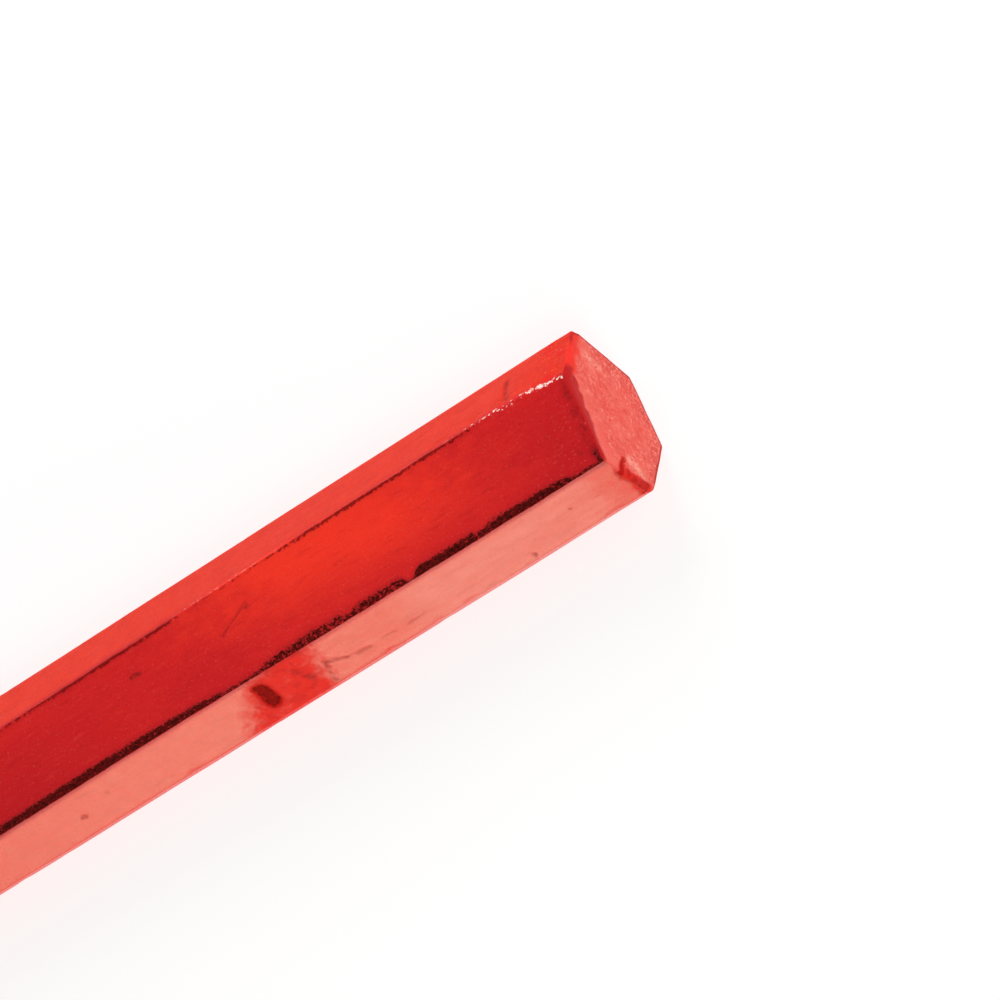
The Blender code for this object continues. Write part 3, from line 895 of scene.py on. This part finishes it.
    # the butt end's cloudier patches
    mottled = n.math("MULTIPLY", n.math("MULTIPLY", n.ramp(torn, 0.53, 0.60), butt), n.math("MAXIMUM", far, near))
    base = n.mix(n.math("MULTIPLY", mottled, 0.85), base, (0.76, 0.014, 0.012))
    flecks = n.math("MULTIPLY", n.math("MULTIPLY", n.ramp(crumb, 0.64, 0.70), butt), far)
    base = n.mix(n.math("MULTIPLY", flecks, 0.7), base, (0.93, 0.20, 0.15))
    smudged = n.math("MULTIPLY", n.math("MULTIPLY", n.span(torn, 0.42, 0.60, 0.25, 1.0), last), n.math("MULTIPLY", top, 0.60), clamp=True)
    base = n.mix(smudged, base, (0.24, 0.005, 0.007))

    # the dark line beside the near upper edge, painted near-black red with crumbling margins and a dark red halo, over
    # a shallow groove in the shape
    ragged = n.noise(n.stretched(0.8, 1.0, 1.0), 5.0, 3.0, 0.75)
    crumble = n.math("MULTIPLY", n.math("SUBTRACT", ragged, 0.5), 0.85)
    line = n.math("MULTIPLY", n.ramp(n.math("ADD", band, crumble), -0.07, 0.13), n.ramp(n.attribute("below"), -0.01, 0.05))
    grainy = n.math("ADD", n.noise(n.stretched(0.75, 1.0, 1.0), 5.2, 2.0, 0.7), n.math("MULTIPLY", n.math("SUBTRACT", n.attribute("grainy"), 1.0), 0.20))
    line = n.math("MULTIPLY", line, n.math("SUBTRACT", 1.0, n.math("MULTIPLY", n.ramp(grainy, 0.50, 0.58), 0.80)))
    dark_line_tone = n.mix(n.ramp(n.noise(n.object, 6.5, 3.0, 0.75), 0.42, 0.60), (0.0140, 0.0010, 0.0006), (0.1350, 0.0060, 0.0045))
    halo = n.math("MULTIPLY", n.ramp(n.math("ADD", band, crumble), -0.50, 0.05), n.math("MULTIPLY", top, 0.30))
    base = n.mix(halo, base, (0.32, 0.006, 0.012))
    base = n.mix(n.math("MULTIPLY", line, 0.97), base, dark_line_tone)

    # pink crumbs, a thin broken dark line and painted highlight sparkles along the far upper edge
    def scattered(key, low, high, gain):
        amount = n.attribute(key)
        level = n.math("ADD", crumb, n.math("MULTIPLY", n.math("SUBTRACT", amount, 1.0), gain))
        return n.math("MULTIPLY", n.ramp(level, low, high), n.ramp(amount, 0.04, 0.15))

    base = n.mix(n.math("MULTIPLY", n.attribute("thin_halo"), n.span(fine, 0.35, 0.65, 0.25, 0.75), clamp=True), base, (0.400, 0.0080, 0.0080))
    thin = scattered("thin_dark", 0.20, 0.40, 0.35)
    base = n.mix(n.math("MULTIPLY", thin, 0.82), base, (0.150, 0.0035, 0.0035))
    pink = scattered("pink_crumbs", 0.37, 0.49, 0.40)
    base = n.mix(n.math("MULTIPLY", pink, 0.75), base, (0.93, 0.22, 0.17))
    # near-white specks on the far upper edge: painted highlight sparkles
    pale = scattered("painted_sparkles", 0.32, 0.42, 0.36)
    bright = n.mix(n.ramp(n.noise(n.object, 3.0, 2.0, 0.5), 0.42, 0.58), (0.95, 0.38, 0.30), (0.99, 0.88, 0.82))
    base = n.mix(n.math("MULTIPLY", pale, 0.93), base, bright)

    # gouge, dents and scratches; the gouge is painted dark brown-red, darkest in a ring just inside its edge, with a
    # dark red halo round it
    pit = n.ramp(n.math("ADD", gouge, n.math("MULTIPLY", n.math("SUBTRACT", fine, 0.5), 0.9)), -0.08, 0.26)
    base = n.mix(n.math("MULTIPLY", n.ramp(gouge, -0.48, 0.05), 0.60), base, (0.40, 0.0110, 0.0080))
    gouge_colour = n.mix(n.ramp(speck, 0.40, 0.60), (0.185, 0.0065, 0.0050), (0.310, 0.0105, 0.0082))
    gouge_colour = n.mix(n.math("MULTIPLY", n.ramp(n.math("ABSOLUTE", n.math("SUBTRACT", gouge, 0.10)), 0.15, 0.03), 0.6), gouge_colour, (0.085, 0.0035, 0.0030))
    base = n.mix(pit, base, gouge_colour)
    wander = n.noise(n.object, 1.6, 2.0, 0.5)
    node = n.add("ShaderNodeTexNoise")
    n.put(node.inputs["Vector"], n.object)
    node.inputs["Scale"].default_value = 1.5
    node.inputs["Detail"].default_value = 3.0
    shake = n.vmath("SCALE", n.vmath("SUBTRACT", node.outputs["Color"], (0.5, 0.5, 0.5)), scale=0.55)
    straight = n.object
    n.object = n.vmath("ADD", straight, shake)
    marks = [
        (n.segment(near_point(57.6, 2.25), near_point(59.4, 3.05), 0.26), 0.46),
        (n.segment(near_point(60.1, 3.25), near_point(61.4, 3.35), 0.24), 0.34),
        (n.segment(near_point(57.7, 2.25), near_point(56.9, 4.2), 0.28), 0.48),
        (n.segment(near_point(62.8, 3.25), near_point(64.0, 3.35), 0.20), 0.28),
        (n.segment(near_point(65.3, 3.4), near_point(67.0, 3.3), 0.20), 0.28),
        (n.segment(near_point(55.6, 2.5), near_point(55.9, 2.8), 0.46), 0.45),
        (n.segment(near_point(55.3, 1.5), near_point(55.6, 1.9), 0.40), 0.40),
        (n.segment(near_point(31.75, 2.7), near_point(31.85, 2.75), 0.30), 0.90),
        (n.segment(near_point(77.2, 4.15), near_point(77.3, 4.2), 0.26), 0.90),
        (n.segment(near_point(82.5, 2.2), near_point(82.6, 2.25), 0.18), 0.50),
        (n.segment(near_point(35.0, 1.9), near_point(35.1, 1.95), 0.18), 0.50),
        (n.segment(top_point(54.6, 1.55), top_point(53.3, 1.0), 0.15), 0.60),
        (n.segment(top_point(53.3, 1.0), top_point(51.7, 0.35), 0.13), 0.55),
        (n.segment(top_point(54.5, 1.20), top_point(54.7, 1.25), 0.30), 0.85),
        (n.segment(top_point(42.6, 1.28), top_point(43.5, 1.30), 0.24), 0.80),
        (n.segment(top_point(86.1, -2.0), top_point(86.5, -2.5), 0.22), 0.35),
        (n.segment(top_point(87.4, -0.6), top_point(87.6, -1.1), 0.16), 0.60),
        (n.segment(top_point(87.3, 2.0), top_point(87.5, 1.4), 0.18), 0.50),
        (n.segment(far_point(82.2, 0.8), far_point(81.8, 3.0), 0.38), 0.50),
        (n.segment(top_point(-12.0, 1.9), top_point(-6.5, 0.7), 0.11), 0.50),
        (n.segment(top_point(18.0, -1.6), top_point(21.5, -0.4), 0.10), 0.50),
        (n.segment(near_point(-25.0, 1.4), near_point(-19.0, 2.6), 0.12), 0.45),
        (n.segment(far_point(8.0, 1.2), far_point(14.0, 2.9), 0.12), 0.45),
        (n.segment(far_point(-34.0, 3.0), far_point(-31.5, 1.4), 0.13), 0.45),
    ]
    n.object = straight
    scratched = n.highest([n.math("MULTIPLY", mark, depth) for mark, depth in marks])
    scratched = n.math("MULTIPLY", scratched, n.span(wander, 0.35, 0.6, 0.5, 1.1), clamp=True)
    scratched = n.math("MULTIPLY", scratched, n.math("SUBTRACT", 1.0, end))
    base = n.mix(scratched, base, (0.210, 0.0085, 0.0080))

    # the end face: sawn end grain under the coat
    streak = n.noise(n.stretched(1.0, 0.72, 1.15), 1.5, 5.0, 0.72, 1.3)
    dots = n.noise(n.stretched(1.0, 0.85, 1.10), 2.7, 4.0, 0.76, 1.0)
    cloud = n.noise(n.object, 0.55, 3.0, 0.5)
    low_zone = n.attribute("low_zone")
    face = n.mix(n.ramp(cloud, 0.35, 0.65), (0.690, 0.052, 0.031), (0.715, 0.078, 0.049))
    face = n.mix(n.math("MULTIPLY", n.attribute("smooth_rim"), 0.45), face, (0.730, 0.072, 0.045))
    # a painted highlight: a pale pink spot beside the notch; and a second pale patch on the far side
    near_blob = n.vmath("ADD", n.object, shake)
    clear = n.object
    n.object = near_blob
    blob = n.segment(end_point(*END_HIGHLIGHT_SPOT[0]), end_point(*END_HIGHLIGHT_SPOT[1]), 0.62)
    second_blob = n.segment(end_point(4.45, 0.25), end_point(3.40, -0.65), 0.50)
    n.object = clear
    face = n.mix(n.math("MULTIPLY", n.math("MAXIMUM", blob, n.math("MULTIPLY", second_blob, 0.7)), n.span(dots, 0.40, 0.58, 0.30, 0.90), clamp=True), face, (0.82, 0.27, 0.20))
    face = n.mix(n.math("MULTIPLY", n.math("MULTIPLY", n.ramp(streak, 0.52, 0.62), rough), 0.42), face, (0.80, 0.16, 0.115))
    face = n.mix(n.math("MULTIPLY", n.math("MULTIPLY", n.ramp(streak, 0.46, 0.36), rough), 0.50), face, (0.54, 0.018, 0.013))
    face = n.mix(n.math("MULTIPLY", n.math("MULTIPLY", n.ramp(dots, 0.55, 0.65), rough), 0.50), face, (0.86, 0.31, 0.24))
    face = n.mix(n.math("MULTIPLY", n.math("MULTIPLY", n.ramp(dots, 0.45, 0.35), rough), 0.46), face, (0.44, 0.012, 0.009))
    tight = n.noise(n.object, 4.6, 3.0, 0.7, 0.5)
    face = n.mix(n.math("MULTIPLY", n.math("MULTIPLY", n.ramp(tight, 0.53, 0.40), low_zone), 0.60), face, (0.44, 0.012, 0.010))
    face = n.mix(n.math("MULTIPLY", n.math("MULTIPLY", n.ramp(tight, 0.56, 0.64), low_zone), 0.48), face, (0.88, 0.32, 0.25))
    chipped = n.mix(n.ramp(patchy, 0.42, 0.62), (0.700, 0.0320, 0.0190), (0.760, 0.0260, 0.0180))
    face = n.mix(n.math("MULTIPLY", n.attribute("far_rim"), 0.94), face, chipped)
    face = n.mix(n.math("MULTIPLY", n.attribute("dark_rim"), 0.94), face, (0.420, 0.0095, 0.0120))
    glossy_red = n.mix(n.ramp(torn, 0.45, 0.60), (0.600, 0.0140, 0.0100), (0.400, 0.0090, 0.0080))
    face = n.mix(n.math("MULTIPLY", n.attribute("near_rim"), n.span(fine, 0.35, 0.6, 0.70, 1.0), clamp=True), face, glossy_red)
    notch = n.math("ADD", n.attribute("notch"), n.math("MULTIPLY", n.math("SUBTRACT", fine, 0.5), 0.35))
    base = n.mix(end, base, face)
    base = n.mix(n.math("MULTIPLY", n.attribute("rim_line"), n.span(fine, 0.35, 0.65, 0.35, 0.85), clamp=True), base, (0.330, 0.0080, 0.0110))
    base = n.mix(n.math("MULTIPLY", n.ramp(notch, 0.16, 0.46), 0.88), base, (0.39, 0.0085, 0.0075))
    n.put(n.shader.inputs["Base Color"], base)

    roughness = n.span(fine, 0.3, 0.7, 0.24, 0.34)
    roughness = n.math("ADD", roughness, n.math("MULTIPLY", n.math("MAXIMUM", line, pit), 0.35))
    roughness = n.math("ADD", roughness, n.math("MULTIPLY", n.math("MAXIMUM", scratched, rough), 0.15))
    roughness = n.math("ADD", roughness, n.math("MULTIPLY", patch, 0.10), clamp=True)
    n.put(n.shader.inputs["Roughness"], roughness)
    n.shader.inputs["IOR"].default_value = 1.40
    dull = [n.math("MULTIPLY", n.attribute(key), amount) for key, amount in (("far_chamfer", 0.94), ("rim_line", 0.92), ("far_rim", 0.90), ("near_rim", 0.92), ("dark_rim", 0.85), ("rim_red", 0.90), ("edges", 0.90), ("top", 0.45), ("lower", 0.55))]
    dull += [n.math("MULTIPLY", mark, 0.90) for mark in (patch, line, scratched)]
    dull = n.highest(dull + [n.ramp(gouge, -0.5, -0.05), n.ramp(notch, 0.10, 0.35)])
    n.put(n.shader.inputs["Specular IOR Level"], n.math("MULTIPLY", n.math("SUBTRACT", 1.0, dull), 0.5))

    ripple = n.bump(n.noise(n.stretched(0.30, 1.0, 1.0), 1.6, 3.0, 0.5), 0.30, 0.05)
    calm = n.math("SUBTRACT", 1.0, n.math("MULTIPLY", near, 0.55))
    peel = n.bump(n.math("MULTIPLY", fine, calm), 0.17, 0.03, ripple)
    grains = n.bump(n.math("MULTIPLY", grain, calm), 0.13, 0.02, peel)
    pits = n.bump(n.math("SUBTRACT", 1.0, n.ramp(speck, 0.64, 0.78)), 0.26, 0.03, grains)
    cuts = n.bump(n.math("SUBTRACT", 1.0, scratched), 0.6, 0.05, pits)
    sawn = n.bump(n.math("MULTIPLY", streak, rough), 0.55, 0.06, cuts)
    n.put(n.shader.inputs["Normal"], n.bump(n.math("MULTIPLY", dots, rough), 0.45, 0.05, sawn))
    return n.material


def wood_material(name, shift):
    n = Nodes(name)
    cut = n.attribute("cut")
    place = n.vmath("ADD", n.object, (shift, 0.37 * shift, 0.0))
    n.object = place
    rings = n.noise(n.stretched(0.045, 1.0, 1.0), 0.85, 2.0, 0.45, 0.4)
    bands = n.math("PINGPONG", n.math("MULTIPLY", rings, 9.0), 1.0)
    fibre = n.noise(n.stretched(0.06, 1.0, 1.0), 7.0, 5.0, 0.65)
    pore = n.noise(n.stretched(0.10, 1.0, 1.0), 11.0, 2.0, 0.6)
    blotch = n.noise(n.object, 0.28, 3.0, 0.5)
    base = n.mix(n.ramp(bands, 0.15, 0.95), (0.640, 0.345, 0.175), (0.420, 0.185, 0.085))
    base = n.mix(n.math("MULTIPLY", n.ramp(fibre, 0.35, 0.70), 0.50), base, (0.730, 0.450, 0.260))
    base = n.mix(n.math("MULTIPLY", n.ramp(pore, 0.60, 0.72), 0.55), base, (0.235, 0.095, 0.045))
    base = n.mix(n.math("MULTIPLY", n.ramp(blotch, 0.55, 0.75), 0.30), base, (0.50, 0.22, 0.11))
    separate = n.add("ShaderNodeSeparateXYZ")
    n.put(separate.inputs[0], n.object)
    smear = n.math("MULTIPLY", n.ramp(separate.outputs[0], POINT_X + shift + 9.0, POINT_X + shift + 4.0), n.ramp(fibre, 0.40, 0.62))
    base = n.mix(n.math("MULTIPLY", smear, 0.55), base, (0.10, 0.085, 0.075))
    n.put(n.shader.inputs["Base Color"], base)
    n.put(n.shader.inputs["Roughness"], n.span(fibre, 0.3, 0.7, 0.50, 0.72))
    n.shader.inputs["IOR"].default_value = 1.42
    n.shader.inputs["Sheen Weight"].default_value = 0.06
    first = n.bump(fibre, 0.45, 0.05)
    second = n.bump(n.math("SUBTRACT", 1.0, n.ramp(pore, 0.58, 0.74)), 0.40, 0.04, first)
    n.put(n.shader.inputs["Normal"], n.bump(bands, 0.10, 0.03, second))
    return n.material


def graphite_material():
    n = Nodes("graphite_and_clay")
    streak = n.noise(n.stretched(0.12, 1.0, 1.0), 8.0, 4.0, 0.6)
    fine = n.noise(n.object, 6.0, 4.0, 0.6)
    base = n.mix(n.ramp(streak, 0.35, 0.65), (0.030, 0.031, 0.034), (0.090, 0.092, 0.098))
    base = n.mix(n.math("MULTIPLY", n.ramp(fine, 0.58, 0.70), 0.5), base, (0.16, 0.16, 0.165))
    n.put(n.shader.inputs["Base Color"], base)
    n.shader.inputs["Metallic"].default_value = 0.35
    n.put(n.shader.inputs["Roughness"], n.span(streak, 0.3, 0.7, 0.28, 0.46))
    n.put(n.shader.inputs["Normal"], n.bump(fine, 0.25, 0.03, n.bump(streak, 0.35, 0.04)))
    return n.material


def glue_material():
    n = Nodes("dried_wood_glue")
    fine = n.noise(n.stretched(0.4, 1.0, 1.0), 5.0, 3.0, 0.6)
    n.put(n.shader.inputs["Base Color"], n.mix(n.ramp(fine, 0.35, 0.65), (0.36, 0.20, 0.10), (0.52, 0.33, 0.18)))
    n.put(n.shader.inputs["Roughness"], n.span(fine, 0.3, 0.7, 0.38, 0.55))
    n.put(n.shader.inputs["Normal"], n.bump(fine, 0.2, 0.02))
    return n.material


# ---------------------------------------------------------------- pieces
body, (last_ring, ring_face, ring_s) = make_body()
body.data.materials.append(lacquer_material("red_pencil_lacquer"))
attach(body, "root")
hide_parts("lacquer_coat_body")

dip = make_dip(last_ring, ring_face, ring_s)
dip.data.materials.append(lacquer_material("red_dipped_coat"))
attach(dip, "root")
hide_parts("dipped_coat_butt_end")

for side, name, node, slot, seed, shift in (
    (1, "cedar_slat_upper", "wood_slat_upper", "cedar_upper", 401, 13.0),
    (-1, "cedar_slat_lower", "wood_slat_lower", "cedar_lower", 431, 47.0),
):
    slat = make_slat(side, name, seed)
    slat.data.materials.append(wood_material(name + "_wood", shift))
    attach(slat, "root")
    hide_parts(node)

lead = make_lead()
lead.data.materials.append(graphite_material())
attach(lead, "root")
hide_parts("graphite_lead")

glue = glue_material()
for name in ("glue_film_left", "glue_film_right"):
    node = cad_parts[name]
    node.data.materials.clear()
    node.data.materials.append(glue)

# ---------------------------------------------------------------- stage
FLOOR_Z = CAD_LO.z - 0.00002
floor_mesh = bpy.data.meshes.new("pale_floor")
reach = 6.0
floor_mesh.from_pydata(
    [(-reach, -reach, FLOOR_Z), (reach, -reach, FLOOR_Z), (reach, reach, FLOOR_Z), (-reach, reach, FLOOR_Z)],
    [],
    [(0, 1, 2, 3)],
)
floor = bpy.data.objects.new("pale_floor", floor_mesh)
bpy.context.scene.collection.objects.link(floor)
paper = Nodes("pale_floor_surface")
tone = paper.noise(paper.object, 0.02, 2.0, 0.4)
paper.put(paper.shader.inputs["Base Color"], paper.mix(tone, (0.27, 0.27, 0.27), (0.29, 0.29, 0.29)))
paper.shader.inputs["Emission Color"].default_value = (1.0, 1.0, 1.0, 1.0)
away = paper.vmath("LENGTH", paper.object)
paper.put(paper.shader.inputs["Emission Strength"], paper.span(away, 400.0, 1700.0, 0.76, 0.97))
paper.shader.inputs["Roughness"].default_value = 0.9
paper.shader.inputs["Specular IOR Level"].default_value = 0.1
floor_mesh.materials.append(paper.material)

# Sky: pale round the horizon and dim overhead, so that the upper face stays deep red
world = bpy.data.worlds.new("studio")
bpy.context.scene.world = world
world.use_nodes = True
tree = world.node_tree
background = tree.nodes["Background"]
where = tree.nodes.new("ShaderNodeTexCoord")
split = tree.nodes.new("ShaderNodeSeparateXYZ")
tree.links.new(where.outputs["Generated"], split.inputs[0])
level = tree.nodes.new("ShaderNodeMapRange")
level.interpolation_type = "SMOOTHSTEP"
level.inputs["From Min"].default_value = 0.18
level.inputs["From Max"].default_value = 0.70
tree.links.new(split.outputs["Z"], level.inputs["Value"])
blend = tree.nodes.new("ShaderNodeMix")
blend.data_type = "RGBA"
blend.inputs[6].default_value = (1.0, 1.0, 1.0, 1.0)
blend.inputs[7].default_value = (0.10, 0.10, 0.10, 1.0)
tree.links.new(level.outputs["Result"], blend.inputs[0])
tree.links.new(blend.outputs[2], background.inputs["Color"])
background.inputs["Strength"].default_value = 1.0

TARGET = Vector((0.055, 0.0, 0.004))


def softbox(name, direction, distance, size, radiance, colour=(1.0, 1.0, 1.0), target=TARGET):
    """A square area light that looks at the pencil. Its power comes from the radiance wanted."""
    light = bpy.data.lights.new(name, "AREA")
    light.shape = "RECTANGLE"
    light.size, light.size_y = size
    light.energy = radiance * math.pi * size[0] * size[1]
    light.color = colour
    obj = bpy.data.objects.new(name, light)
    bpy.context.scene.collection.objects.link(obj)
    way = Vector(direction).normalized()
    obj.location = target + way * distance
    obj.rotation_euler = way.to_track_quat("Z", "Y").to_euler()
    obj.visible_camera = False
    return obj


softbox("near_card", (-0.46, -0.88, 0.12), 0.60, (0.27, 0.20), 6.5, (1.0, 0.97, 0.72))
softbox("far_side", (0.10, 0.84, 0.50), 0.90, (0.70, 0.50), 4.3)
softbox("butt_side", (0.95, 0.10, 0.45), 0.90, (0.60, 0.45), 2.6)
softbox("key", (0.45, -0.50, 0.75), 1.00, (0.60, 0.60), 3.0)

# ---------------------------------------------------------------- camera
# The photograph's view of the butt end, from above the near side and rolled
CAMERA_AT = Vector((0.36242, -0.10559, 0.45027))
CAMERA_RIGHT = Vector((0.718303, -0.415314, -0.558171))
CAMERA_UP = Vector((0.450765, 0.888929, -0.081335))
right = CAMERA_RIGHT.normalized()
back = right.cross(CAMERA_UP).normalized()
up = back.cross(right).normalized()
camera_data = bpy.data.cameras.new("camera")
camera_data.sensor_width = 36.0
camera_data.lens = 269.96
camera_data.clip_start = 0.01
camera_data.clip_end = 50.0
camera = bpy.data.objects.new("camera", camera_data)
bpy.context.scene.collection.objects.link(camera)
camera.matrix_world = Matrix.Translation(CAMERA_AT) @ Matrix((right, up, back)).transposed().to_4x4()
bpy.context.scene.camera = camera

scene = bpy.context.scene
scene.view_settings.view_transform = "Standard"
scene.view_settings.look = "None"
scene.view_settings.exposure = 0.0
scene.view_settings.gamma = 1.0
